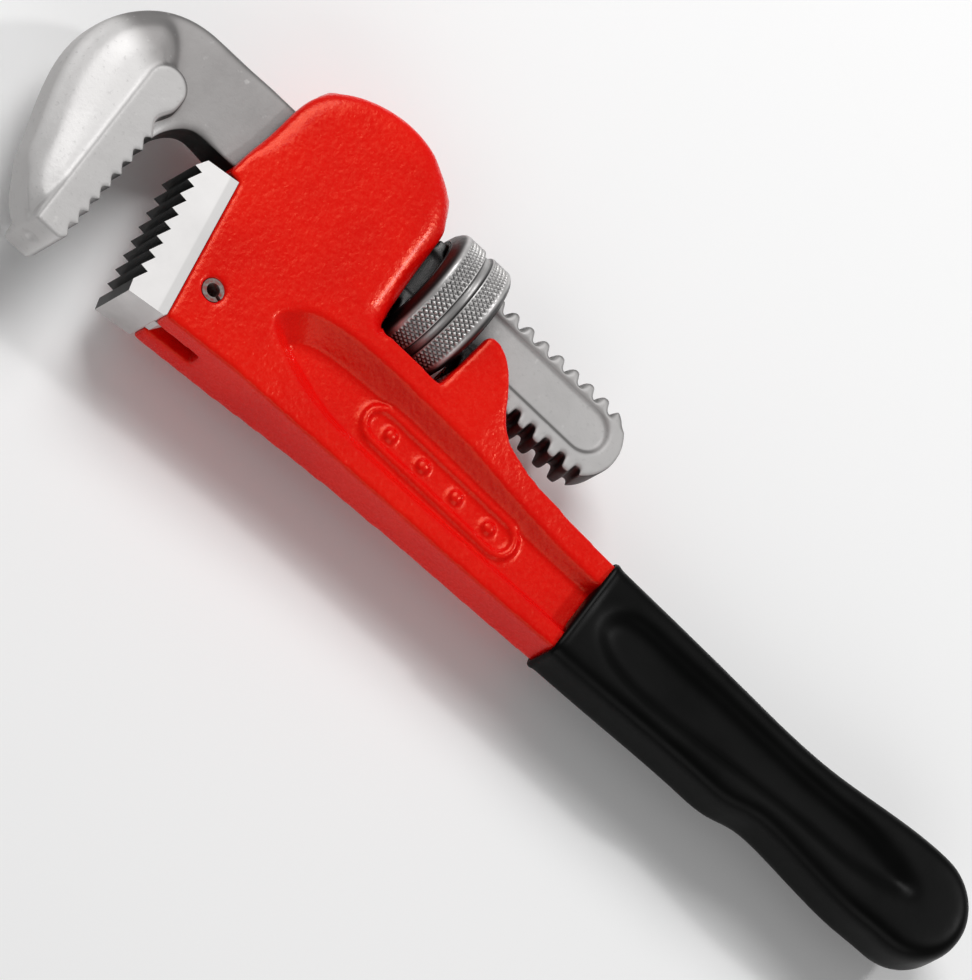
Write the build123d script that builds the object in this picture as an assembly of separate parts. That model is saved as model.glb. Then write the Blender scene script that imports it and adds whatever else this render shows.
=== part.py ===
from build123d import *
import os
from math import cos, radians, sin, sqrt, tan

os.makedirs("parts", exist_ok=True)

# Adjustable pipe wrench, lying flat.  +X runs from the jaws to the end of the handle,
# the mouth faces -Y, and z = 0 is the middle of the thickness.  The origin is the middle
# of the heel jaw's toothed face.  Millimetres and degrees.

# ---- heel jaw -------------------------------------------------------------
jaw_thickness = 15.2
heel_tilt = 8.5
heel_back = 17.6
heel_front = -16.0
heel_height = 9.5
heel_pitch = 3.55
heel_tooth_depth = 1.9
heel_tooth_count = 8
tongue_width = 4.4
tongue_depth = 11.0
tongue_clearance = 0.1

# ---- pin through the heel jaw --------------------------------------------
pin_radius = 2.4
pin_wall = 0.95
pin_slit = 0.8
pin_inset = 5.9
pin_offset = -5.1

# ---- hook jaw and its threaded shank ---------------------------------------
jaw_gap = 12.6
hook_pitch = 3.66
hook_tooth_depth = 1.7
hook_tooth_count = 8
hook_tilt = 2.9
shank_thickness = 8.2
shank_end = 101.9
axis_y = 33.8
thread_radius = 10.0
thread_depth = 2.4
thread_pitch = 4.13
thread_start = 33.0
thread_lead_in = 1.0
ridge_root = 0.36
ridge_crest = 0.22
ridge_sink = 0.4
crest = axis_y + thread_radius
neck_low = axis_y - thread_radius - 1.3
neck_high = crest - 1.8

# ---- adjusting nut -------------------------------------------------------
nut_wall = 4.35
nut_length = 15.0
nut_middle = 55.65
nut_bevel_axial = 2.2
nut_bevel_radial = 3.2
nut_end_gap = 0.8
thread_clearance = 0.25
nut_radius = thread_radius + nut_wall

# ---- housing and handle ----------------------------------------------------
body_thickness = 15.8
handle_thickness = 10.8
web_thickness = 4.4
head_face = 5.0
handle_top = 16.3
handle_low = -8.2
handle_end = 215.2
grip_length = 101.3
butt_radius = 12.3
butt_y = 7.7
sleeve_wall = 1.3
rock_angle = 2.5
side_clearance = 0.35
floor_clearance = 0.15
notch_left = nut_middle - nut_length / 2 - nut_end_gap
lug_face = nut_middle + nut_length / 2 + nut_end_gap
notch_floor = axis_y - nut_radius - 2.25
lug_top = axis_y - 0.3

# ---- springs inside the housing -------------------------------------------
leaf_thickness = 1.0
leaf_width = shank_thickness - 0.8
leaf_start = 10.5
leaf_end = 41.0
leaf_gap = 0.3
coil_x = 22.0
coil_radius = 2.5
coil_wire = 0.8
coil_turns = 4.5
rivet_radius = 1.0
leaf_y = crest + leaf_gap
pocket_top = crest + 8.6


def tilted(u, v, angle=heel_tilt):
    """Point given u into the jaw and v along the teeth, turned by the jaw's tilt."""
    a = radians(angle)
    return (u * cos(a) - v * sin(a), u * sin(a) + v * cos(a))


def plate(edges, half):
    """Plate of the outline, reaching half to each side of the middle plane."""
    return extrude(make_face(edges), half, both=True)


def saw(first, pitch, depth, count, rise=0.14):
    """Saw tooth points (u, v) from the back to the front; each tip is followed by its root."""
    points = []
    for i in range(count):
        v = first - i * pitch
        points += [(0, v), (depth, v - rise * pitch)]
    return points + [(0, first - count * pitch)]


# ---- heel jaw -------------------------------------------------------------
def make_heel_jaw():
    teeth = saw(heel_back - 2.5, heel_pitch, heel_tooth_depth, heel_tooth_count)
    uv = [(heel_height, heel_back), (1.9, heel_back)] + teeth + [(0.3, heel_front), (heel_height, heel_front)]
    block = plate(Polyline(*[tilted(*p) for p in uv], close=True), jaw_thickness / 2)
    block = chamfer(block.edges().filter_by(Axis.Z).sort_by_distance(tilted(heel_height, heel_front) + (0,))[:1], 0.6)
    bottom = heel_height + tongue_depth
    corner = 7.0
    tongue_uv = [(heel_height - 1, heel_front + 0.5), (heel_height + 1, heel_front + 0.5),
                 (heel_height + corner, heel_front + corner), (bottom, heel_front + corner + 4),
                 (bottom, heel_back - 8), (heel_height - 1, heel_back - 7)]
    tongue = plate(Polyline(*[tilted(*p) for p in tongue_uv], close=True), tongue_width / 2)
    x, y = tilted(heel_height + pin_inset, pin_offset)
    return block + tongue - Pos(x, y) * Cylinder(pin_radius, 2 * body_thickness)


# ---- heel jaw pin: a slit spring pin --------------------------------------
def make_pin():
    x, y = tilted(heel_height + pin_inset, pin_offset)
    length = body_thickness - 0.6
    tube = Cylinder(pin_radius, length) - Cylinder(pin_radius - pin_wall, 2 * length)
    slit = Rot(0, 0, -20) * Pos(pin_radius, 0) * Box(2 * pin_radius, pin_slit, 2 * length)
    return Pos(x, y) * (tube - slit)


# ---- thread form -----------------------------------------------------------
def thread_ridge(outer, root, start, turns):
    """Helical ridge about the thread axis, trapezoid section from the root to the crest."""
    base = ridge_root * thread_pitch
    tip = ridge_crest * thread_pitch
    path = Helix(pitch=thread_pitch, height=turns * thread_pitch, radius=root)
    section = Plane(origin=path @ 0, x_dir=(1, 0, 0), z_dir=path % 0) * Polygon(
        (-ridge_sink, -base), (outer - root, -tip), (outer - root, tip), (-ridge_sink, base), align=None)
    ridge = sweep(section, path, is_frenet=True)
    return Pos(start, axis_y) * Rot(0, 90, 0) * ridge


# ---- hook jaw ---------------------------------------------------------------
def hook_teeth():
    """Outline points of the toothed face from its back end to the front corner."""
    first = 12.9
    line = []
    for u, v in saw(first, hook_pitch, hook_tooth_depth, hook_tooth_count, rise=0.32):
        x, y = tilted(-u, v, -hook_tilt)
        line.append((x - jaw_gap, y))
    return line


def head_outline(inset=0.0):
    """Big rounded back of the hook from the neck to its front corner."""
    crown = [(-12, neck_high), (-25.8, 37.8), (-34.1, 26.1), (-34.7, 11.7), (-30.6, -3.3), (-21.6, -17.6)]
    centre = (-16, 12)
    points = []
    for x, y in crown:
        dx, dy = x - centre[0], y - centre[1]
        r = sqrt(dx * dx + dy * dy)
        points.append((x - inset * dx / r, y - inset * dy / r))
    return points


def flank(side):
    """Swelling of the hook's side face: a rounded border, then a gentle rise to the toothed pad."""
    half = shank_thickness / 2
    rise = jaw_thickness / 2 - half
    levels = [(1.4, -0.05, [(-17.5, -15), (-16, 0), (-16, 18), (-18, 33)]),
              (4.6, 0.60 * rise, [(-17.8, -13.5), (-16.6, 0), (-16.6, 18), (-18.5, 30)]),
              (9.4, 0.84 * rise, [(-18.5, -9), (-17.6, 0), (-17.6, 18), (-19.5, 25.5)])]
    faces = []
    for inset, up, inner in levels:
        outline = Spline(*(head_outline(inset)[1:] + inner), periodic=True)
        faces.append(Pos(0, 0, side * (half + up)) * make_face(outline))
    return loft(faces[:2], ruled=True) + loft(faces[1:], ruled=True)


def jaw_pad(teeth):
    """Raised toothed pad as thick as the jaw, with a round lobe at its back end."""
    left, right, top = -21.4, -11.5, 23.6
    radius = (right - left) / 2
    edge = ThreePointArc((left, top), (left + radius, top + radius), (right, top))
    edge += Spline((right, top), (-12.0, 20), (-13.7, 16.6), teeth[0], tangents=[(0, -1), (0.3, -1)])
    edge += Polyline(*teeth)
    edge += Polyline(teeth[-1], (-14.9, -18.1), (-20.9, -18.1), (left, -15))
    edge += Line((left, -15), (left, top))
    pad = plate(edge, jaw_thickness / 2)
    rims = [k for k in pad.edges() if abs(k.center().Z) > jaw_thickness / 2 - 0.1]
    return chamfer([k for k in rims if k.geom_type != GeomType.LINE or k.center().X < left + 0.1], 0.9)


def make_hook_jaw():
    teeth = hook_teeth()
    crown = head_outline()
    outline = Spline(*crown, tangents=[(-1, 0.02), (0.62, -0.78)])
    outline += Polyline(crown[-1], (-20.9, -18.1), (-14.9, -18.1), teeth[-1])
    outline += Polyline(*reversed(teeth))
    outline += Spline(teeth[0], (-10.3, 17.6), (-6.6, neck_low - 0.6), (0, neck_low), tangents=[(0.25, 1), (1, 0)])
    outline += Polyline((0, neck_low), (thread_start, neck_low), (thread_start, neck_high), crown[0])
    head = plate(outline, shank_thickness / 2)
    head = fillet([k for k in head.edges().filter_by(GeomType.BSPLINE) if k.length > 60], 1.6)
    head += flank(1)
    head += flank(-1)
    head += jaw_pad(teeth)
    # hollow cast into the front end
    head -= Pos(-17.9, -18.9) * Sphere(1.9)
    return head + make_shank()


def make_shank():
    """Threaded part of the shank: a flat-sided bar with the two flanks of a screw."""
    half = shank_thickness / 2
    root = thread_radius - thread_depth
    length = shank_end - thread_start
    turns = (length - 2 * thread_lead_in) / thread_pitch
    core = Pos(thread_start + length / 2, axis_y) * Rot(0, 90, 0) * Cylinder(root, length)
    ridge = thread_ridge(thread_radius, root, thread_start + thread_lead_in, turns)
    nose = shank_end - 0.94 * thread_radius
    rise = 1.02 * thread_radius
    low = axis_y - thread_radius - 2
    high = axis_y + thread_radius + 2
    rim = Line((thread_start - 0.01, high), (nose, high))
    rim += Line((nose, high), (nose, axis_y + rise))
    rim += ThreePointArc((nose, axis_y + rise), (shank_end, axis_y), (nose, axis_y - rise))
    rim += Line((nose, axis_y - rise), (nose, low))
    rim += Line((nose, low), (thread_start - 0.01, low))
    rim += Line((thread_start - 0.01, low), (thread_start - 0.01, high))
    slab = plate(rim, half)
    bar = (core & slab) + (ridge & slab)
    # long shallow panel on both flat sides
    floor_slot = SlotOverall(0.84 * length, 0.94 * thread_radius)
    mouth_slot = SlotOverall(0.87 * length, 1.1 * thread_radius)
    for side in (-1, 1):
        cut = loft([Pos(0, 0, side * (half - 1.1)) * floor_slot, Pos(0, 0, side * (half + 0.1)) * mouth_slot])
        bar -= Pos(thread_start + 0.515 * length, axis_y + 0.9) * cut
    return bar


# ---- adjusting nut --------------------------------------------------------
def nut_ridge(turns=6):
    """Inner ridge of the nut: what is left between the shank's ridges, less the clearance."""
    root = thread_radius - thread_depth
    inner = root + thread_clearance
    outer = thread_radius + thread_clearance + 0.4

    def half_width(r):
        shank_half = thread_pitch * (ridge_root - (ridge_root - ridge_crest) * (r - root) / thread_depth)
        return thread_pitch / 2 - shank_half - thread_clearance

    path = Helix(pitch=thread_pitch, height=turns * thread_pitch, radius=inner)
    section = Plane(origin=path @ 0, x_dir=(1, 0, 0), z_dir=path % 0) * Polygon(
        (0, -half_width(inner)), (outer - inner, -half_width(outer)), (outer - inner, half_width(outer)),
        (0, half_width(inner)), align=None)
    ridge = Pos(0, 0, -turns * thread_pitch / 2) * sweep(section, path, is_frenet=True)
    return ridge & Cylinder(outer + 1, nut_length)


def make_nut():
    r = nut_radius
    half = nut_length / 2
    bore = thread_radius + thread_clearance
    groove = 1.1
    bevel = nut_bevel_axial
    fall = nut_bevel_radial
    right = [(r - 0.8, groove - 0.6), (r, groove), (r, half - bevel), (r - 0.4 * fall, half - 0.35 * bevel),
             (r - fall, half), (bore, half)]
    band = [(x, -y) for x, y in reversed(right)] + right
    ring = revolve(Plane.XZ * make_face(Polyline(*band, close=True)), Axis.Z)
    # the inner ridge is turned so that it lies midway between the shank's ridges
    phase = 180 + 360 * (nut_middle - thread_start - thread_lead_in) / thread_pitch
    return Pos(nut_middle, axis_y) * Rot(0, 90, 0) * Rot(0, 0, phase % 360) * (ring + nut_ridge())


# ---- handle and housing --------------------------------------------------
def back(distance):
    """X of a station on the handle, counted back from its end."""
    return handle_end - distance


def grip_top(inset):
    """Points of the grip's upper line, moved in towards the handle."""
    line = [(73.2, 16.4), (57.2, 16.0), (41.2, 16.4), (21.2, 19.3)]
    return [(back(d), y - inset) for d, y in line]


def grip_low(inset):
    """Points of the grip's lower line with its finger stop, moved in towards the handle."""
    line = [(18.7, -5.1), (27.7, -5.0), (39.6, -4.2), (47.9, -4.6), (53.2, -6.3), (60.2, -6.9)]
    return [(back(d), y + inset) for d, y in line]


def butt(inset):
    """Round end of the grip or of the handle under it, from its upper to its lower end."""
    r = butt_radius - inset
    x = handle_end + sleeve_wall - butt_radius
    return [(x, butt_y + r), (x + r, butt_y), (x, butt_y - r)]


def body_outline():
    seat_back = tilted(heel_height, heel_back)
    seat_front = tilted(heel_height, heel_front)
    face_top = (head_face + 1.7, crest - 3.3)
    e = Polyline(seat_front, seat_back, (head_face - 0.9, seat_back[1] + 0.4), face_top)
    dome = [(10.0, 4.6), (16.3, 9.4), (24, 12.0), (31.5, 12.1), (38.5, 9.7), (43.5, 5.8)]
    e += Spline(face_top, *[(x, crest + y) for x, y in dome], (notch_left - 0.8, crest + 1),
                (notch_left, crest - 3.8), tangents=[(0.13, 1), (0, -1)])
    e += Polyline((notch_left, crest - 3.8), (notch_left, notch_floor + 1.5))
    e += TangentArc((notch_left, notch_floor + 1.5), (notch_left + 1.5, notch_floor), tangent=(0, -1))
    e += Polyline((notch_left + 1.5, notch_floor), (lug_face - 0.2, notch_floor),
                  (lug_face + 1.6, lug_top - 1), (lug_face + 2.8, lug_top))
    lug = [(2.8, lug_top), (7.4, lug_top - 1.6), (11.2, lug_top - 5.9), (14.4, lug_top - 10.9),
           (18.5, handle_top + 2.6), (24.5, handle_top + 1.0)]
    throat = (lug_face + 37, handle_top)
    e += Spline(*[(lug_face + x, y) for x, y in lug], throat, tangents=[(1, 0), (1, -0.05)])
    top, tip, low = butt(sleeve_wall)
    e += Spline(throat, *grip_top(sleeve_wall), top, tangents=[(1, -0.05), (1, 0)])
    e += ThreePointArc(top, tip, low)
    e += Spline(low, *grip_low(sleeve_wall), (throat[0], handle_low), (lug_face - 3, handle_low - 2.1),
                (31.4, -12.5), seat_front, tangents=[(-1, 0), (-0.98, -0.10)])
    return e


def thickness_cutter(low_side, side):
    """Block outside the half thickness on the lower or the upper half of the body."""
    full = body_thickness / 2
    thin = handle_thickness / 2
    end = handle_end + 25
    if low_side:
        steps = [(29, full), (46, full - 1.3), (62, thin + 0.45), (84, thin)]
    else:
        steps = [(46, full), (64, full - 0.4), (76, full - 0.6), (90, thin + 0.7), (104, thin)]
    ring = [(-20, full)] + steps + [(end, thin), (end, 20), (-20, 20)]
    y0, y1 = (-40, 3.5) if low_side else (3.5, 80)
    base = Plane(origin=(0, y0, 0), x_dir=(1, 0, 0), z_dir=(0, 1, 0))
    return extrude(base * make_face(Polyline(*[(x, -side * z) for x, z in ring], close=True)), y1 - y0)


def recess(side):
    """Side recess that leaves the web and the two flanges."""
    neck = lug_face + 37
    at_side = [(29, 3.6), (32.5, 8.0), (42, 11.2), (58, 12.4), (neck, 12.2), (back(65), 11.4), (back(29), 12.6),
               (back(17), 11.6), (back(12.5), 7.6), (back(17), 3.2), (back(29), 0.6), (back(65), -2.4), (neck, -5.4),
               (60, -7.0), (44, -6.0), (33, -1.6)]
    at_web = [(36, 3.4), (39, 5.6), (48, 7.6), (62, 8.2), (neck, 7.8), (back(65), 9.4), (back(31), 10.4),
              (back(21), 9.8), (back(17), 7.6), (back(21), 5.2), (back(31), 3.4), (back(65), 0.2), (neck, -1.6),
              (62, -2.6), (50, -2.0), (40, 0.8)]
    wide = Pos(0, 0, side * (body_thickness / 2 + 0.1)) * make_face(Spline(*at_side, periodic=True))
    small = Pos(0, 0, side * web_thickness / 2) * make_face(Spline(*at_web, periodic=True))
    return loft([small, wide])


def make_body():
    blank = plate(body_outline(), body_thickness / 2)
    for side in (-1, 1):
        blank -= thickness_cutter(True, side)
        blank -= thickness_cutter(False, side)
        blank -= recess(side)
    # mortise for the shank, its roof sloped so the hook jaw can rock open
    z = shank_thickness / 2 + side_clearance
    low = neck_low - floor_clearance
    sway = tan(radians(rock_angle))
    roof = leaf_y + leaf_thickness + 0.3
    roof_head = roof + sway * nut_middle
    roof_nut = roof + sway * (nut_middle - notch_left)
    mortise = Polyline((-5, low), (notch_left + 1, low), (notch_left + 1, roof_nut), (-5, roof_head), close=True)
    blank -= plate(mortise, z)
    # channel between the two ears behind the nut
    drop = sway * (shank_end + 6 - nut_middle)
    under = axis_y - thread_radius - 0.7
    reach = shank_end + 18
    channel = Polyline((lug_face - 3, under), (lug_face - 3, lug_top + 9), (reach, lug_top + 9),
                       (reach, under - drop), close=True)
    blank -= plate(channel, z + 0.1)
    # pocket for the coil spring
    pocket_radius = coil_radius + coil_wire / 2 + 0.45
    pocket_depth = pocket_top - crest - 1.2
    blank -= Pos(coil_x, pocket_top - pocket_depth / 2) * Rot(90, 0, 0) * Cylinder(pocket_radius, pocket_depth)
    # slot for the heel jaw's tongue, open at the front
    half = tongue_width / 2 + tongue_clearance
    deep = heel_height + tongue_depth + 0.4
    slot_uv = [(heel_height - 3, heel_front - 6), (deep, heel_front - 6), (deep, heel_back - 7.4),
               (heel_height - 3, heel_back - 6.4)]
    blank -= plate(Polyline(*[tilted(*p) for p in slot_uv], close=True), half)
    x, y = tilted(heel_height + pin_inset, pin_offset)
    return blank - Pos(x, y) * Cylinder(pin_radius, 2 * body_thickness)


# ---- grip sleeve ------------------------------------------------------------
def make_sleeve(body):
    thin = handle_thickness / 2 + sleeve_wall
    start = back(grip_length)
    start_top = handle_top + 0.5
    start_low = handle_low - 0.7
    top, tip, low = butt(0)
    e = Spline((start, start_top), *grip_top(0), top, tangents=[(1, -0.02), (1, 0)])
    e += ThreePointArc(top, tip, low)
    e += Spline(low, *grip_low(0), (start, start_low), tangents=[(-1, 0), (-1, -0.04)])
    e += Line((start, start_low), (start, start_top))
    outer = plate(e, thin)
    rim = outer.edges().filter_by(Plane.XY)
    outer = fillet([k for k in rim if k.center().X > start + 1], 3.2)
    # shallow dish along both sides, leaving a raised rim
    at_side = [(start + 4.2, 4.6), (start + 7.2, 9.4), (start + 16, 11.0), (back(65), 11.2), (back(35), 11.8),
               (back(18), 11.4), (back(12), 7.6), (back(18), 3.4), (back(35), 1.4), (back(65), -1.6),
               (start + 16, -3.0), (start + 7.2, -0.6)]
    at_floor = [(start + 8.2, 4.6), (start + 10.2, 7.6), (start + 18, 8.8), (back(65), 9.0), (back(37), 9.6),
                (back(22), 9.2), (back(17), 7.6), (back(22), 5.6), (back(37), 3.8), (back(65), 0.8),
                (start + 18, -0.4), (start + 10.2, 1.4)]
    for side in (-1, 1):
        wide = Pos(0, 0, side * (thin + 0.05)) * make_face(Spline(*at_side, periodic=True))
        small = Pos(0, 0, side * (thin - 1.6)) * make_face(Spline(*at_floor, periodic=True))
        outer -= loft([small, wide])
    return outer - body


# ---- springs ---------------------------------------------------------------
def make_leaf():
    length = leaf_end - leaf_start
    strip = Pos((leaf_start + leaf_end) / 2, leaf_y + leaf_thickness / 2) * Box(length, leaf_thickness, leaf_width)
    strip = fillet(strip.edges().filter_by(Axis.Y), 1.5)
    return strip - Pos(coil_x, leaf_y) * Rot(90, 0, 0) * Cylinder(rivet_radius, 6)


def make_rivet():
    stem = Pos(coil_x, leaf_y + leaf_thickness / 2) * Rot(90, 0, 0) * Cylinder(rivet_radius, leaf_thickness)
    post = Pos(coil_x, leaf_y + leaf_thickness + 1.4) * Rot(90, 0, 0)
    post *= Cylinder(coil_radius - coil_wire / 2 - 0.3, 2.8)
    return stem + chamfer(post.edges().group_by(Axis.Y)[-1], 0.5)


def make_coil():
    low = leaf_y + leaf_thickness + coil_wire / 2 + 0.05
    high = pocket_top - coil_wire / 2
    height = high - low
    path = Helix(pitch=height / coil_turns, height=height, radius=coil_radius)
    wire = sweep(Plane(origin=path @ 0, z_dir=path % 0) * Circle(coil_wire / 2), path, is_frenet=True)
    return Pos(coil_x, low) * Rot(-90, 0, 0) * wire


body = make_body()
export_step(body, "parts/handle_body.step")
export_step(make_hook_jaw(), "parts/hook_jaw.step")
export_step(make_nut(), "parts/adjusting_nut.step")
export_step(make_heel_jaw(), "parts/heel_jaw.step")
export_step(make_pin(), "parts/heel_jaw_pin.step")
export_step(make_leaf(), "parts/leaf_spring.step")
export_step(make_rivet(), "parts/spring_rivet.step")
export_step(make_coil(), "parts/coil_spring.step")
export_step(make_sleeve(body), "parts/grip_sleeve.step")
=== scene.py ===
import bpy
import math
import numpy as np
from mathutils import Matrix, Vector


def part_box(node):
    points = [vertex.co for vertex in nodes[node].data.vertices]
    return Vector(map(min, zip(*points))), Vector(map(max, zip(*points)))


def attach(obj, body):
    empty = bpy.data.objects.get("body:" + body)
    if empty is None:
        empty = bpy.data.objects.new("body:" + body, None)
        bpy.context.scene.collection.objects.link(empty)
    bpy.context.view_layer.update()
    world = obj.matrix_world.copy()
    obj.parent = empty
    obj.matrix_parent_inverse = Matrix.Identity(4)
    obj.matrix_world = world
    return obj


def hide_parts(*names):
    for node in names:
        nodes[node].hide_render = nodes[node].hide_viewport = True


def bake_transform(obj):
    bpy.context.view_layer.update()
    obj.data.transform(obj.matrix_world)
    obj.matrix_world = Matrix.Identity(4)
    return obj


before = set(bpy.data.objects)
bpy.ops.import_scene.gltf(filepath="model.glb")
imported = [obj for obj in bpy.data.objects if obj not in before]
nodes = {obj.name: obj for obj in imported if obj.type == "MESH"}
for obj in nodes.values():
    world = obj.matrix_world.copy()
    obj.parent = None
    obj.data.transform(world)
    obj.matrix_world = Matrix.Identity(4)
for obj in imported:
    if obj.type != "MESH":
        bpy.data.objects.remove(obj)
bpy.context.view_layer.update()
ROUNDS = 1.0  # share of the smoothing rounds that is run
MM = 0.001
AXIS_Y = 0.0338  # thread's axis across the wrench, in metres
COIL_X = 22.0  # coil spring's place along the wrench, in mm
HALF_THICK = 7.9  # half the housing's thickness, in mm
WINDOW_FACE = 47.35  # housing's wall beside the nut, in mm
BADGE_Y = 3.6  # centre line of the raised badge, in mm
GRIP_START = 114.9  # the grip's lip, in mm


# ---- small helpers ---------------------------------------------------------
def link(obj):
    bpy.context.scene.collection.objects.link(obj)
    return obj


def mesh_object(name, verts, faces):
    mesh = bpy.data.meshes.new(name)
    mesh.from_pydata([tuple(v) for v in verts], [], faces)
    mesh.update()
    return link(bpy.data.objects.new(name, mesh))


def copy_of(node, name):
    obj = link(bpy.data.objects.new(name, nodes[node].data.copy()))
    obj.data.materials.clear()
    return obj


def apply_modifiers(obj):
    graph = bpy.context.evaluated_depsgraph_get()
    graph.update()
    mesh = bpy.data.meshes.new_from_object(obj.evaluated_get(graph))
    obj.modifiers.clear()
    obj.data = mesh
    return obj


def remeshed(obj, voxel):
    m = obj.modifiers.new("remesh", "REMESH")
    m.mode = "VOXEL"
    m.voxel_size = voxel
    m.adaptivity = 0
    return apply_modifiers(obj)


def points(obj):
    co = np.empty(len(obj.data.vertices) * 3)
    obj.data.vertices.foreach_get("co", co)
    return co.reshape(-1, 3)


def put_points(obj, co):
    obj.data.vertices.foreach_set("co", co.reshape(-1))
    obj.data.update()


def relax(obj, weight, rounds, step=0.5):
    """Laplacian smoothing by neighbour averages; weight is a number or a function of the points."""
    mesh = obj.data
    n = len(mesh.vertices)
    co = points(obj)
    ed = np.empty(len(mesh.edges) * 2, np.int64)
    mesh.edges.foreach_get("vertices", ed)
    ed = ed.reshape(-1, 2)
    a = np.concatenate([ed[:, 0], ed[:, 1]])
    b = np.concatenate([ed[:, 1], ed[:, 0]])
    deg = np.maximum(np.bincount(a, minlength=n), 1)[:, None]
    w = (weight(co) if callable(weight) else np.full(n, float(weight)))[:, None]
    for _ in range(rounds):
        mean = np.stack([np.bincount(a, co[b, k], minlength=n) for k in range(3)], 1) / deg
        co = co + step * w * (mean - co)
    put_points(obj, co)
    return obj


def smooth_shade(obj):
    obj.data.polygons.foreach_set("use_smooth", [True] * len(obj.data.polygons))
    obj.data.update()


def step01(x, a, b):
    t = np.clip((x - a) / (b - a), 0, 1)
    return t * t * (3 - 2 * t)


# ---- material building ----------------------------------------------------
class Mat:
    """A node material with short calls for the nodes the wrench's finishes need."""

    def __init__(self, name):
        self.mat = bpy.data.materials.new(name)
        self.mat.use_nodes = True
        self.tree = self.mat.node_tree
        self.tree.nodes.clear()
        self.out = self.node("ShaderNodeOutputMaterial")
        self.shader = self.node("ShaderNodeBsdfPrincipled")
        self.join(self.shader.outputs[0], self.out.inputs[0])
        self.coord = self.node("ShaderNodeTexCoord").outputs["Object"]

    def node(self, kind, **values):
        n = self.tree.nodes.new(kind)
        for k, v in values.items():
            setattr(n, k, v)
        return n

    def join(self, a, b):
        self.tree.links.new(a, b)

    def put(self, socket, value):
        if isinstance(value, bpy.types.NodeSocket):
            self.join(value, socket)
        else:
            socket.default_value = value

    def set(self, name, value):
        self.put(self.shader.inputs[name], value)

    def noise(self, scale, detail=4.0, rough=0.55, stretch=None):
        n = self.node("ShaderNodeTexNoise")
        n.inputs["Scale"].default_value = scale
        n.inputs["Detail"].default_value = detail
        n.inputs["Roughness"].default_value = rough
        at = self.coord
        if stretch:
            m = self.node("ShaderNodeMapping")
            m.inputs["Scale"].default_value = stretch
            self.join(at, m.inputs["Vector"])
            at = m.outputs[0]
        self.join(at, n.inputs["Vector"])
        return n.outputs["Fac"]

    def voronoi(self, scale):
        n = self.node("ShaderNodeTexVoronoi", feature="F1")
        n.inputs["Scale"].default_value = scale
        self.join(self.coord, n.inputs["Vector"])
        return n.outputs["Distance"]

    def ramp(self, fac, stops):
        n = self.node("ShaderNodeValToRGB")
        e = n.color_ramp.elements
        while len(e) < len(stops):
            e.new(0.5)
        for i, (p, c) in enumerate(stops):
            e[i].position = p
            e[i].color = c if hasattr(c, "__len__") else (c, c, c, 1)
        self.join(fac, n.inputs["Fac"])
        return n.outputs["Color"]

    def remap(self, value, a, b, lo=0.0, hi=1.0):
        n = self.node("ShaderNodeMapRange", interpolation_type="SMOOTHSTEP")
        self.put(n.inputs["Value"], value)
        for k, v in zip(("From Min", "From Max", "To Min", "To Max"), (a, b, lo, hi)):
            n.inputs[k].default_value = v
        return n.outputs["Result"]

    def math(self, op, a, b=0.0):
        n = self.node("ShaderNodeMath", operation=op)
        self.put(n.inputs[0], a)
        self.put(n.inputs[1], b)
        return n.outputs[0]

    def mix(self, fac, a, b, blend="MIX"):
        n = self.node("ShaderNodeMix", data_type="RGBA", blend_type=blend)
        self.put(n.inputs["Factor"], fac)
        self.put(n.inputs["A"], a)
        self.put(n.inputs["B"], b)
        return n.outputs["Result"]

    def where(self):
        n = self.node("ShaderNodeSeparateXYZ")
        self.join(self.coord, n.inputs[0])
        return n.outputs

    def facing(self):
        """Surface direction in the piece's own frame."""
        g = self.node("ShaderNodeNewGeometry")
        t = self.node("ShaderNodeVectorTransform", vector_type="NORMAL",
                      convert_from="WORLD", convert_to="OBJECT")
        self.join(g.outputs["Normal"], t.inputs[0])
        n = self.node("ShaderNodeSeparateXYZ")
        self.join(t.outputs[0], n.inputs[0])
        return n.outputs

    # Mask from surface pointiness: convex edges, or creases when lo is above hi.
    def pointiness_mask(self, lo=0.52, hi=0.62):
        g = self.node("ShaderNodeNewGeometry")
        return self.remap(g.outputs["Pointiness"], lo, hi)

    def painted_occlusion_shade(self, reach, lo, hi):
        """Ambient-occlusion mask for painted shade: 1 deep in gaps, 0 on open surfaces."""
        n = self.node("ShaderNodeAmbientOcclusion", samples=6)
        n.inputs["Distance"].default_value = reach
        return self.remap(n.outputs["AO"], hi, lo)

    def bump(self, height, strength, distance=0.0002, below=None):
        n = self.node("ShaderNodeBump")
        n.inputs["Strength"].default_value = strength
        n.inputs["Distance"].default_value = distance
        self.join(height, n.inputs["Height"])
        if below is not None:
            self.join(below, n.inputs["Normal"])
        return n.outputs[0]


def rgb(h, gain=1.0):
    """Linear colour from a hex triple."""
    out = []
    for i in (0, 2, 4):
        c = int(h[i:i + 2], 16) / 255
        c = c / 12.92 if c <= 0.04045 else ((c + 0.055) / 1.055) ** 2.4
        out.append(min(1.0, c * gain))
    return (*out, 1)


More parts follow.
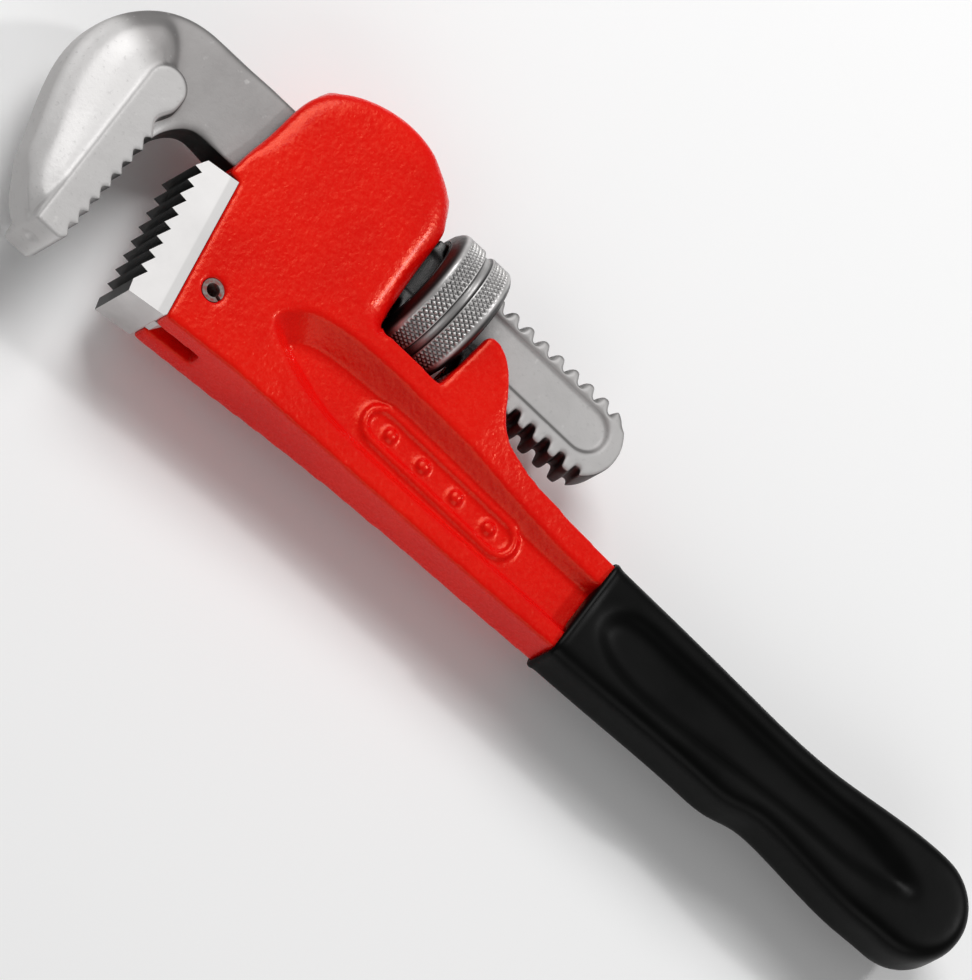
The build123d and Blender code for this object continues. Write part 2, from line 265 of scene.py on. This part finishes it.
def red_enamel():
    m = Mat("red_enamel")
    cloud = m.noise(45, 3)
    fine = m.noise(900, 4, 0.6)
    grain = m.noise(2600, 2)
    base = m.ramp(cloud, [(0.3, rgb("DB0405")), (0.55, rgb("E40906")), (0.75, rgb("EA1208"))])
    pale = m.ramp(grain, [(0.55, 0.0), (0.72, 1.0)])
    base = m.mix(m.math("MULTIPLY", pale, 0.10), base, rgb("EE5A3C"))
    # Painted highlight: convex edges of the enamel lightened towards orange.
    edge = m.pointiness_mask(0.53, 0.64)
    base = m.mix(m.math("MULTIPLY", edge, 0.22), base, rgb("F04A30"))
    # Painted shade: gaps and recesses turned near-black from ambient occlusion.
    base = m.mix(m.painted_occlusion_shade(0.006, 0.10, 0.40), base, rgb("150202"))
    m.set("Base Color", base)
    m.set("Roughness", m.remap(fine, 0.3, 0.7, 0.22, 0.32))
    m.set("Specular IOR Level", 0.55)
    m.set("Specular Tint", (1.0, 0.30, 0.14, 1))
    m.set("Coat Weight", 0.06)
    m.set("Coat Roughness", 0.12)
    peel = m.noise(1100, 2, 0.5)
    dents = m.voronoi(520)
    cast = m.bump(m.noise(190, 3, 0.55), 0.22, 0.0004)
    first = m.bump(peel, 0.55, 0.00016, cast)
    m.set("Normal", m.bump(dents, 0.35, 0.00013, first))
    return m.mat


def forged_steel():
    m = Mat("forged_steel")
    pos = m.where()
    n = m.facing()
    cloud = m.noise(60, 5, 0.6)
    pale = m.ramp(cloud, [(0.3, rgb("D2D0CF")), (0.7, rgb("E2E0DF"))])
    neck = m.ramp(cloud, [(0.3, rgb("8E8B8A")), (0.7, rgb("A3A09F"))])
    across = m.math("ADD", m.math("MULTIPLY", pos[0], 0.465), m.math("MULTIPLY", pos[1], 0.885))
    dark = m.remap(across, 0.0085, 0.0155)
    pad = m.remap(m.math("ABSOLUTE", pos[2]), 0.0071, 0.0075)
    ground = m.ramp(cloud, [(0.3, rgb("B4B2B1")), (0.7, rgb("C2C0BF"))])
    bare = m.remap(pos[0], 0.036, 0.042)
    base = m.mix(m.math("MULTIPLY", dark, m.math("SUBTRACT", 1.0, bare)), pale, neck)
    base = m.mix(bare, base, m.ramp(cloud, [(0.3, rgb("A8A6A5")), (0.7, rgb("B8B6B5"))]))
    base = m.mix(pad, base, ground)
    # Painted shade: faces turned up (+Y) darkened, more strongly on the crown and neck.
    painted_upward_shade = m.math("MULTIPLY", m.remap(n[1], 0.0, 0.6), m.remap(dark, 0.0, 1.0, 0.30, 0.85))
    base = m.mix(painted_upward_shade, base, rgb("5E5C5B"))
    side = m.math("ABSOLUTE", n[2])
    edge_face = m.remap(side, 0.75, 0.35)
    # Painted shade: edge faces turned down, right of the hook's back, made near-black and less metallic.
    down = m.remap(n[1], 0.25, -0.15)
    behind = m.remap(pos[0], -0.0140, -0.0128)
    painted_underside_shade = m.math("MULTIPLY", m.math("MULTIPLY", edge_face, down), behind)
    rim = m.math("MULTIPLY", m.math("MULTIPLY", edge_face, m.remap(pos[0], -0.014, -0.018)), 0.35)
    base = m.mix(rim, base, rgb("7E7B7A"))
    base = m.mix(painted_underside_shade, base, rgb("1A1918"))
    # Painted shade: tooth faces turned to +X darkened.
    painted_tooth_shade = m.math("MULTIPLY", m.math("MULTIPLY", edge_face, m.remap(n[0], 0.1, 0.6)),
                   m.remap(pos[0], -0.0150, -0.0135))
    base = m.mix(m.math("MULTIPLY", painted_tooth_shade, 0.7), base, rgb("3A3837"))
    specks = m.ramp(m.noise(420, 2), [(0.68, 0.0), (0.78, 1.0)])
    base = m.mix(m.math("MULTIPLY", specks, 0.25), base, rgb("E9E7E5"))
    pits = m.ramp(m.noise(950, 3, 0.6), [(0.60, 0.0), (0.72, 1.0)])
    base = m.mix(m.math("MULTIPLY", pits, 0.22), base, rgb("7A7877"))
    # Painted shade: gaps turned near-black from ambient occlusion, more strongly on the bare shank inside
    # the nut.
    base = m.mix(m.math("MULTIPLY", m.painted_occlusion_shade(0.010, 0.26, 0.56), 0.96), base, rgb("0B0A0A"))
    base = m.mix(m.math("MULTIPLY", m.painted_occlusion_shade(0.012, 0.40, 0.72), bare), base, rgb("080707"))
    m.set("Base Color", base)
    m.set("Metallic", m.remap(painted_underside_shade, 0.2, 0.8, 0.32, 0.1))
    m.set("Roughness", m.remap(cloud, 0.3, 0.7, 0.48, 0.60))
    first = m.bump(m.noise(240, 4, 0.6), 0.30, 0.0003)
    m.set("Normal", m.bump(m.noise(1100, 4, 0.65), 0.42, 0.00009, first))
    return m.mat


def heel_steel():
    m = Mat("heel_steel")
    pos = m.where()
    n = m.facing()
    cloud = m.noise(70, 4)
    pale = m.ramp(cloud, [(0.3, rgb("D8D6D5")), (0.7, rgb("E4E2E1"))])
    side = m.math("ABSOLUTE", n[2])
    edge_face = m.remap(side, 0.8, 0.4)
    # Painted shade: tooth faces turned to -X and the last steep flank made near-black and less metallic.
    teeth = m.math("MULTIPLY", edge_face, m.remap(n[0], 0.05, -0.25))
    painted_flank_shade = m.math("MULTIPLY", m.math("MULTIPLY", edge_face, m.remap(pos[1], -0.0140, -0.0132)),
                   m.remap(pos[0], 0.0042, 0.0034))
    teeth = m.math("MAXIMUM", teeth, painted_flank_shade)
    # Painted shade: faces turned to -Y get a darker, patchier tone.
    painted_front_shade = m.math("MULTIPLY", edge_face, m.remap(n[1], -0.5, -0.85))
    base = m.mix(painted_front_shade, pale, m.ramp(m.noise(90, 3), [(0.3, rgb("C4C2C1")), (0.7, rgb("DEDCDB"))]))
    base = m.mix(teeth, base, rgb("161514"))
    seat = m.math("ADD", m.math("MULTIPLY", pos[0], 0.989), m.math("MULTIPLY", pos[1], 0.148))
    ground = m.math("MULTIPLY", m.remap(seat, 0.0072, 0.0078), m.math("SUBTRACT", 1.0, edge_face))
    base = m.mix(m.math("MULTIPLY", ground, 0.5), base, rgb("B9B8B7"))
    m.set("Base Color", base)
    m.set("Metallic", m.remap(teeth, 0.2, 0.8, 0.4, 0.05))
    m.set("Roughness", m.remap(cloud, 0.3, 0.7, 0.42, 0.50))
    brushed = m.noise(500, 3, 0.6, (1.0, 0.12, 1.0))
    m.set("Normal", m.bump(brushed, 0.10, 0.00006, m.bump(m.noise(900, 3), 0.10, 0.00006)))
    return m.mat


def plain_steel(name, lo, hi, rough=(0.3, 0.42), metal=0.9, dark=None, bump=0.15, painted_shade=None):
    """Steel with an optional painted-shade colour for its crevices and, if asked, painted shade on its end
    faces across X, in its gaps and inside the bore.
    """
    m = Mat(name)
    cloud = m.noise(160, 4)
    base = m.ramp(cloud, [(0.3, rgb(lo)), (0.7, rgb(hi))])
    # Painted shade: creases darkened to the given colour.
    if dark:
        base = m.mix(m.pointiness_mask(0.50, 0.43), base, rgb(dark))
    base = m.mix(m.math("MULTIPLY", m.pointiness_mask(), 0.4), base, rgb("E0DEDC"))
    # Painted shade: end faces across X, gaps (ambient occlusion) and the inside of the bore turned to the
    # given dark colour.
    if painted_shade:
        base = m.mix(m.remap(m.math("ABSOLUTE", m.facing()[0]), 0.45, 0.8), base, rgb(painted_shade))
        base = m.mix(m.painted_occlusion_shade(0.006, 0.10, 0.42), base, rgb(painted_shade))
        pos = m.where()
        off = m.math("SUBTRACT", pos[1], AXIS_Y)
        squares = m.math("ADD", m.math("MULTIPLY", off, off), m.math("MULTIPLY", pos[2], pos[2]))
        radial = m.math("SQRT", squares)
        base = m.mix(m.remap(radial, 0.0112, 0.0106), base, rgb(painted_shade))
    m.set("Base Color", base)
    m.set("Metallic", metal)
    m.set("Roughness", m.remap(m.noise(600, 3), 0.3, 0.7, *rough))
    m.set("Normal", m.bump(m.noise(1200, 3), bump, 0.00005))
    return m.mat


def painted_pin():
    """Spring pin with thin red paint left on its rim."""
    m = Mat("painted_pin")
    patch = m.noise(900, 3, 0.6)
    base = m.ramp(patch, [(0.35, rgb("8A2A25")), (0.52, rgb("7A6560")), (0.7, rgb("8C8683"))])
    m.set("Base Color", base)
    m.set("Metallic", 0.25)
    m.set("Roughness", m.remap(m.noise(600, 3), 0.3, 0.7, 0.4, 0.6))
    m.set("Normal", m.bump(patch, 0.5, 0.0001))
    return m.mat


def vinyl():
    m = Mat("dipped_vinyl")
    cloud = m.noise(35, 3)
    base = m.ramp(cloud, [(0.3, (0.0006, 0.0007, 0.0006, 1)), (0.7, (0.0016, 0.0017, 0.0016, 1))])
    dust = m.ramp(m.noise(1500, 2), [(0.66, 0.0), (0.80, 1.0)])
    m.set("Base Color", m.mix(m.math("MULTIPLY", dust, 0.05), base, rgb("2A2A2B")))
    m.set("Roughness", m.remap(m.noise(70, 4), 0.3, 0.7, 0.33, 0.43))
    m.set("Specular IOR Level", 0.09)
    soft = m.bump(m.noise(180, 2), 0.10, 0.0003)
    m.set("Normal", m.bump(m.noise(2200, 2), 0.12, 0.00005, soft))
    return m.mat


RED = red_enamel()
FORGED = forged_steel()
HEEL = heel_steel()
# The nut's crevice colour and its last colour are painted shade.
NUT = plain_steel("knurled_steel", "B0AEAD", "C6C4C3", (0.34, 0.46), 0.55, "2A2929",
                  painted_shade="100F0F")
PIN = painted_pin()
SPRING = plain_steel("spring_steel", "2E3238", "474B52", (0.25, 0.35), 0.9)
VINYL = vinyl()


def dress(obj, material):
    obj.data.materials.clear()
    obj.data.materials.append(material)
    smooth_shade(obj)
    return obj


# ---- housing and handle: cast look with soft edges and a plain raised badge -----
def prism(verts, faces, outline, z0, z1):
    """Closed block of the outline (mm) between two heights (mm), added to the lists."""
    n = len(verts)
    m = len(outline)
    verts += [Vector((x * MM, y * MM, z * MM)) for z in (z0, z1) for x, y in outline]
    faces += [tuple(range(n, n + m)), tuple(range(n + m, n + 2 * m))]
    faces += [(n + i, n + (i + 1) % m, n + m + (i + 1) % m, n + m + i) for i in range(m)]


def round_bar(x0, x1, y, r):
    """Outline of a bar with round ends."""
    right = [(x1 + r * math.sin(a), y - r * math.cos(a)) for a in np.linspace(0, math.pi, 13)]
    left = [(x0 - r * math.sin(a), y + r * math.cos(a)) for a in np.linspace(0, math.pi, 13)]
    return right + left


def body_mesh():
    """The cast body with a plain raised motif on each web: a rounded border and studs, no lettering."""
    src = nodes["handle_body"].data
    verts = [v.co.copy() for v in src.vertices]
    faces = [tuple(p.vertices) for p in src.polygons]
    for side in (-1, 1):
        outer = round_bar(60.5, 92.5, BADGE_Y, 4.6)
        inner = round_bar(60.5, 92.5, BADGE_Y, 3.1)
        for i in range(len(outer)):
            j = (i + 1) % len(outer)
            prism(verts, faces, [outer[i], outer[j], inner[j], inner[i]], 1.9 * side, 3.2 * side)
        for k in range(4):
            stud = round_bar(63 + 9 * k, 63.01 + 9 * k, BADGE_Y, 1.35)
            prism(verts, faces, stud, 1.9 * side, 3.3 * side)
    return mesh_object("cast_body", verts, faces)


def round_off_window(obj):
    """Broad round edge of the housing beside the nut window."""
    co = points(obj)
    x, y, z = co.T / MM
    wide, deep, inner = 7.5, 2.5, 4.6
    share = np.clip((wide - (WINDOW_FACE - x)) / wide, 0, 1)
    fall = deep * (1 - np.sqrt(1 - np.minimum(share, 0.995) ** 2))
    fall *= step01(y, 15, 20) * step01(y, 50, 43) * (x < WINDOW_FACE + 0.5)
    over = np.abs(z) > inner
    flat = inner + (np.abs(z) - inner) * (1 - fall / (HALF_THICK - inner))
    z = np.where(over, np.sign(z) * flat, z)
    co[:, 2] = z * MM
    put_points(obj, co)


def ease_spring_pocket(obj):
    """Hidden walls around the springs stand back, so the leaf can rise and the coil can lean."""
    co = points(obj)
    x, y, z = co.T / MM
    lift = 0.45 * step01(x, 9.6, 10.6) * step01(x, 46, 43) * step01(np.abs(z), 5.4, 4.4)
    lift *= step01(y, 44.6, 46) * step01(y, 51.4, 49.6)
    off = np.maximum(np.hypot(x - COIL_X, z), 0.1)
    push = 0.5 * step01(off, 5.5, 3.5) * step01(y, 45.2, 46.4) * step01(y, 52.3, 51.5)
    co[:, 0] += push * (x - COIL_X) / off * MM
    co[:, 1] += lift * MM
    co[:, 2] += push * z / off * MM
    put_points(obj, co)


def make_cast_body():
    obj = remeshed(body_mesh(), 0.0004)

    def dome(co):
        x, y, z = co.T / MM
        return step01(y, 24, 34) * step01(x, 52, 44) * step01(np.abs(z), 3.2, 5.6)

    def notch_wall(co):
        x, y, z = co.T / MM
        return step01(x, 34, 40) * step01(x, 50, 48) * step01(y, 13, 18) * step01(np.abs(z), 4.2, 5.6)

    relax(obj, 1.0, int(11 * ROUNDS))
    relax(obj, dome, int(120 * ROUNDS))
    relax(obj, notch_wall, int(150 * ROUNDS))
    round_off_window(obj)
    ease_spring_pocket(obj)
    dress(obj, RED)
    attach(obj, "handle")
    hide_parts("handle_body")
    return obj


# ---- hook jaw: forged, with soft flanks and slightly dulled teeth --------------
def make_forged_hook():
    obj = copy_of("hook_jaw", "forged_hook")
    obj = remeshed(obj, 0.00028)

    def flank(co):
        x, y, z = co.T / MM
        pad = step01(x, -24.2, -22.6) * step01(x, -10.6, -12.2)
        pad = pad * step01(y, -20, -19) * step01(y, 29.6, 28)
        return (1 - pad) * step01(x, 2, -6)

    def thread_top(co):
        x, y, z = co.T / MM
        return step01(x, 62, 66) * step01(y, 39.5, 41)

    relax(obj, 1.0, int(9 * ROUNDS))
    relax(obj, flank, int(60 * ROUNDS))
    relax(obj, thread_top, int(30 * ROUNDS))
    dress(obj, FORGED)
    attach(obj, "hook")
    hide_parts("hook_jaw")
    return obj


# ---- knurled nut -----------------------------------------------------------
def make_knurled_nut():
    lo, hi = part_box("adjusting_nut")
    cx, cy = (lo[0] + hi[0]) / 2 / MM, (lo[1] + hi[1]) / 2 / MM
    half = (hi[0] - lo[0]) / 2 / MM
    radius = (hi[1] - lo[1]) / 2 / MM
    bore = 10.3
    teeth = 78
    around = teeth * 8
    fine = 0.14
    # outer profile: (axial place, radius, knurled share)
    xs = list(np.arange(-half + 2.3, -1.25, fine)) + [-1.2]
    left = [(-half, bore, 0), (-half, bore + 0.6, 0), (-half, radius - 3.6, 0),
            (-half + 0.2, radius - 3.1, 0), (-half + 0.45, radius - 2.1, 0),
            (-half + 0.8, radius - 1.25, 0), (-half + 1.3, radius - 0.6, 0),
            (-half + 1.75, radius - 0.22, 0), (-half + 2.05, radius - 0.1, 0)]
    band = [(x, radius - 0.06, min(1.0, (x - xs[0]) / 0.5, (xs[-1] - x) / 0.35 + 0.05))
            for x in xs]
    groove = [(-0.95, radius - 0.35, 0), (-0.7, radius - 0.72, 0),
              (-0.35, radius - 0.86, 0), (0, radius - 0.9, 0)]
    profile = left + band + groove
    profile += [(-x, r, k) for x, r, k in reversed(profile[:-1])]
    inner = [(half - 0.4, bore - 0.3, 0), (-half + 0.4, bore - 0.3, 0)]
    profile = profile + inner
    m = len(profile)
    th = np.arange(around) / around * 2 * math.pi
    verts = np.zeros((m, around, 3))
    lead = 2 * math.pi * radius / teeth
    for i, (x, r, k) in enumerate(profile):
        a = (th * teeth / (2 * math.pi) + 0.72 * x / lead) % 1
        b = (th * teeth / (2 * math.pi) - 0.72 * x / lead) % 1
        ridge_a = 1 - np.abs(2 * a - 1)
        ridge_b = 1 - np.abs(2 * b - 1)
        lift = np.minimum(np.clip(ridge_a * 1.35, 0, 1), np.clip(ridge_b * 1.6, 0, 1))
        rr = r - max(k, 0) * 0.42 * (1 - lift)
        verts[i, :, 0] = x + cx
        verts[i, :, 1] = cy + rr * np.cos(th)
        verts[i, :, 2] = rr * np.sin(th)
    faces = []
    for i in range(m):
        j = (i + 1) % m
        for c in range(around):
            d = (c + 1) % around
            faces.append((i * around + c, i * around + d, j * around + d, j * around + c))
    obj = mesh_object("knurled_nut", verts.reshape(-1, 3) * MM, faces)
    dress(obj, NUT)
    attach(obj, "nut")
    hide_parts("adjusting_nut")
    return obj


# ---- grip ------------------------------------------------------------------
def make_grip():
    obj = copy_of("grip_sleeve", "dipped_grip")
    obj = remeshed(obj, 0.0005)
    relax(obj, 1.0, 22)
    co = points(obj)
    x = co[:, 0] / MM
    lip = np.exp(-((x - GRIP_START) / 0.9) ** 2)
    centre = np.array([0, 0.0045, 0])
    out = co - centre
    out[:, 0] = 0
    length = np.maximum(np.linalg.norm(out, axis=1), 1e-6)[:, None]
    co = co + out / length * (lip * 0.00035)[:, None]
    put_points(obj, co)
    dress(obj, VINYL)
    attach(obj, "handle")
    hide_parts("grip_sleeve")
    return obj


# ---- coil spring: a copy of the part in place, with its transform baked in ----
def make_soft_coil():
    obj = copy_of("coil_spring", "soft_coil")
    dress(obj, SPRING)
    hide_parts("coil_spring")
    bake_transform(obj)
    return obj


def bevel(node, width, segments=2):
    b = nodes[node].modifiers.new("edge", "BEVEL")
    b.width = width
    b.segments = segments
    b.limit_method = "ANGLE"
    b.angle_limit = math.radians(35)


make_cast_body()
make_forged_hook()
make_knurled_nut()
make_grip()
make_soft_coil()
for node, material, slot in (("heel_jaw", HEEL, "heel_steel"),
                             ("heel_jaw_pin", PIN, "pin_steel"),
                             ("leaf_spring", SPRING, "spring_steel"),
                             ("spring_rivet", PIN, "pin_steel")):
    nodes[node].data.materials.clear()
    nodes[node].data.materials.append(material)
bevel("heel_jaw", 0.00022)
bevel("heel_jaw_pin", 0.00012)

# ---- floor, light, camera ----------------------------------------------------
FLOOR_Z = -0.0146  # just under the lowest point, the nut
floor = mesh_object("floor", [(x, y, FLOOR_Z) for x, y in ((-2, -2), (2, -2), (2, 2), (-2, 2))],
                    [(0, 1, 2, 3)])
fm = Mat("floor_paper")
fm.set("Base Color", fm.ramp(fm.noise(3, 2), [(0.3, (0.96, 0.96, 0.96, 1)), (0.7, (0.98, 0.98, 0.98, 1))]))
fm.set("Roughness", 0.9)
fm.set("Normal", fm.bump(fm.noise(400, 3), 0.02, 0.0001))
floor.data.materials.append(fm.mat)

world = bpy.data.worlds.new("studio")
bpy.context.scene.world = world
world.use_nodes = True
world.node_tree.nodes["Background"].inputs["Color"].default_value = (1, 1, 1, 1)
world.node_tree.nodes["Background"].inputs["Strength"].default_value = 0.22


def area(name, place, target, size, power):
    light = bpy.data.lights.new(name, "AREA")
    light.shape = "RECTANGLE"
    light.size, light.size_y = size
    light.energy = power
    obj = link(bpy.data.objects.new(name, light))
    obj.location = place
    aim = Vector(target) - Vector(place)
    obj.rotation_euler = aim.to_track_quat("-Z", "Y").to_euler()
    return obj


TARGET = Vector((0.0855, 0.0110, 0.0))  # point in the middle of the picture
area("key", (-0.25, 0.55, 0.75), TARGET, (0.6, 0.5), 6.2)
area("fill", (0.5, -0.7, 0.45), TARGET, (0.8, 0.6), 2.2)
area("rim", (0.605, 0.514, 0.68), (0.045, 0.034, 0.006), (0.10, 0.10), 2.0)

# the picture's right and up directions in the row frame, solved from the photograph
RIGHT = Vector((0.7138, 0.5340, 0.4533)).normalized()
UP = Vector((-0.6757, 0.6955, 0.2447))
BACK = RIGHT.cross(UP).normalized()
UP = BACK.cross(RIGHT).normalized()
camera = bpy.data.cameras.new("camera")
camera.sensor_fit = "HORIZONTAL"
camera.sensor_width = 36
DISTANCE = 5.0  # far away, because the photograph is nearly parallel
LENS_PER_METRE = 187.7  # keeps the wrench the same size in the picture at any distance
camera.lens = LENS_PER_METRE * DISTANCE
camera.clip_end = 20
cam = link(bpy.data.objects.new("camera", camera))
m = Matrix((RIGHT, UP, BACK)).transposed().to_4x4()
m.translation = TARGET + BACK * DISTANCE
cam.matrix_world = m
bpy.context.scene.camera = cam
bpy.context.scene.view_settings.view_transform = "Standard"
